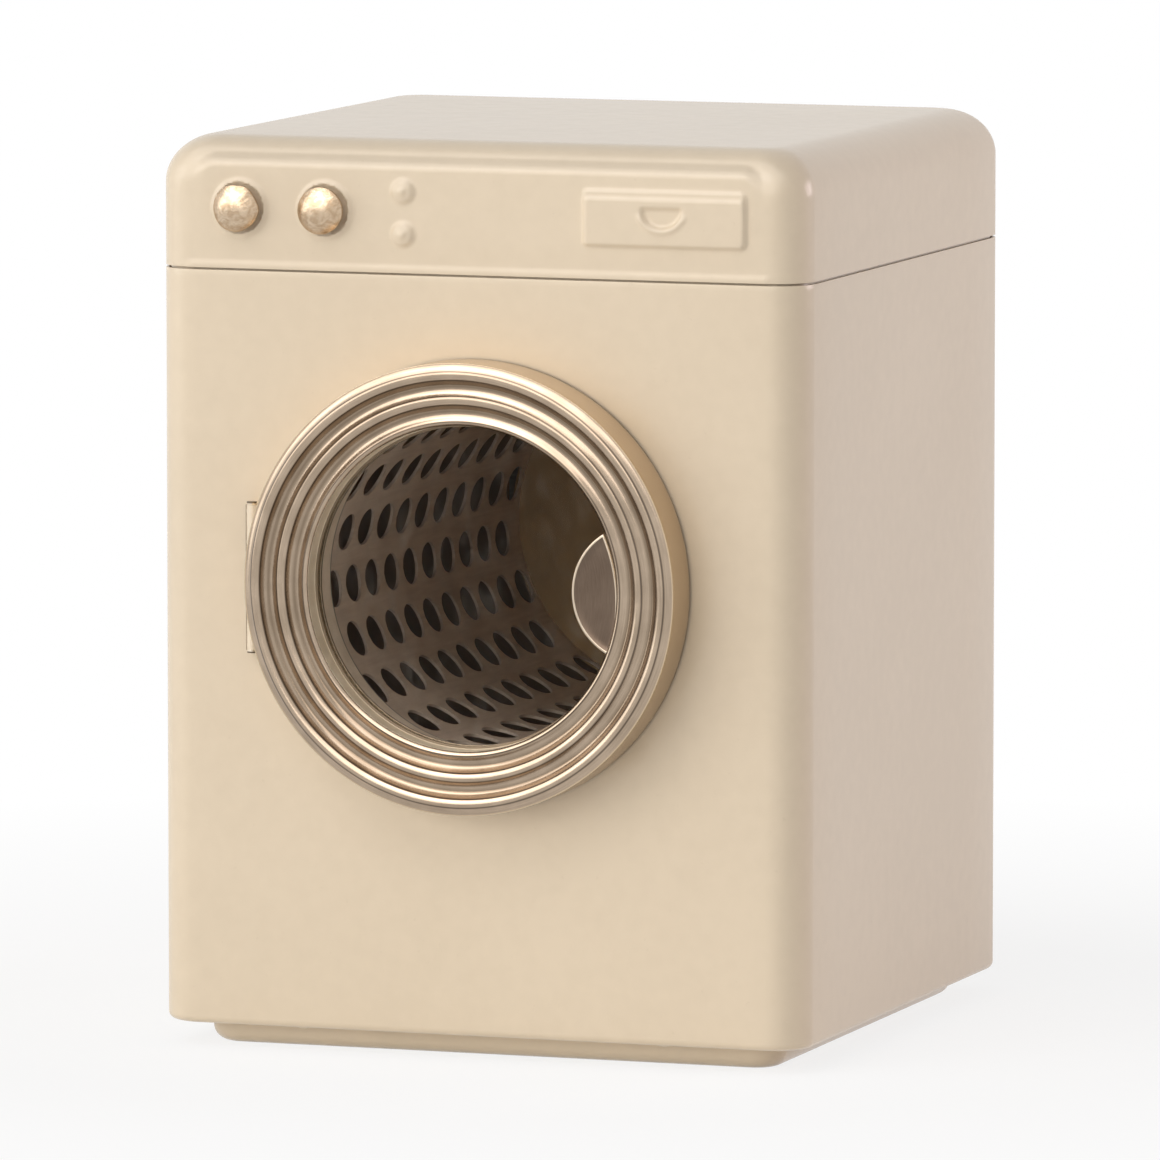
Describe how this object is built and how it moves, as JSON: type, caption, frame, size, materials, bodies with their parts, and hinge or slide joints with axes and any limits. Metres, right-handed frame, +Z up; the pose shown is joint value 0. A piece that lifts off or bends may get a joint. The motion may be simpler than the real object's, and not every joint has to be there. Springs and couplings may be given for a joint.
{
  "type": "toy washing machine",
  "caption": "Small tinplate toy washing machine with a beaded porthole door, perforated turning drum, lift-off top and two turning knobs.",
  "frame": {"origin": "centre of the plinth's flat underside", "axes": "+X to the machine's right as seen from the front, +Y to its back, +Z up; the door faces -Y"},
  "size_m": [0.089, 0.0954, 0.12],
  "materials": {
    "cream_enamel": "smooth satin cream enamel on tinplate",
    "pale_gold": "satin champagne-gold lacquered tinplate with rolled beads",
    "gilt": "scratched gilt over pressed domes",
    "brass": "plain turned brass",
    "bare_steel": "plain zinc-plated steel",
    "drum_metal": "dull brown-grey tinplate, perforated",
    "clear_window": "clear rigid plastic sheet",
    "magnet": "dark sintered magnet"
  },
  "bodies": {
    "cabinet": {"body_shell": "cream_enamel", "plinth_tray": "cream_enamel", "plinth_rivets": "cream_enamel", "lid_collar": "cream_enamel", "throat_ring": "pale_gold", "bearing_bracket": "bare_steel", "bracket_rivets": "bare_steel", "axle_bush": "brass", "hinge_leaf_cabinet": "cream_enamel", "cabinet_leaf_rivets": "cream_enamel", "hinge_pin": "bare_steel", "catch_magnet": "magnet"},
    "door": {"door_ring": "pale_gold", "door_sleeve": "pale_gold", "door_back_plate": "pale_gold", "door_window": "clear_window", "window_retainer": "bare_steel", "door_pull": "pale_gold", "hinge_leaf_door": "cream_enamel", "door_leaf_rivets": "bare_steel"},
    "drum": {"drum_shell": "drum_metal", "drum_mouth_bead": "drum_metal", "drum_back": "drum_metal", "drum_hub": "bare_steel", "drum_axle": "brass", "axle_clip": "bare_steel"},
    "lid": {"lid_shell": "cream_enamel"},
    "knob_left": {"knob_left": "gilt", "knob_left_clip": "bare_steel"},
    "knob_right": {"knob_right": "gilt", "knob_right_clip": "bare_steel"}
  },
  "joints": [
    {"name": "door_hinge", "type": "hinge", "parent": "cabinet", "child": "door", "pos_m": [-0.0305, -0.045, 0.0625], "axis": [0, 0, -1], "range_deg": [0, 100]},
    {"name": "drum_spin", "type": "hinge", "parent": "cabinet", "child": "drum", "pos_m": [0, 0.038, 0.0625], "axis": [0, -1, 0], "continuous": true},
    {"name": "lid_lift", "type": "slide", "parent": "cabinet", "child": "lid", "axis": [0, 0, 1], "range_m": [0, 0.03]},
    {"name": "knob_left_turn", "type": "hinge", "parent": "lid", "child": "knob_left", "pos_m": [-0.0326, -0.0435, 0.1106], "axis": [0, -1, 0], "range_deg": [-150, 150]},
    {"name": "knob_right_turn", "type": "hinge", "parent": "lid", "child": "knob_right", "pos_m": [-0.0208, -0.0435, 0.1106], "axis": [0, -1, 0], "range_deg": [-150, 150]}
  ]
}
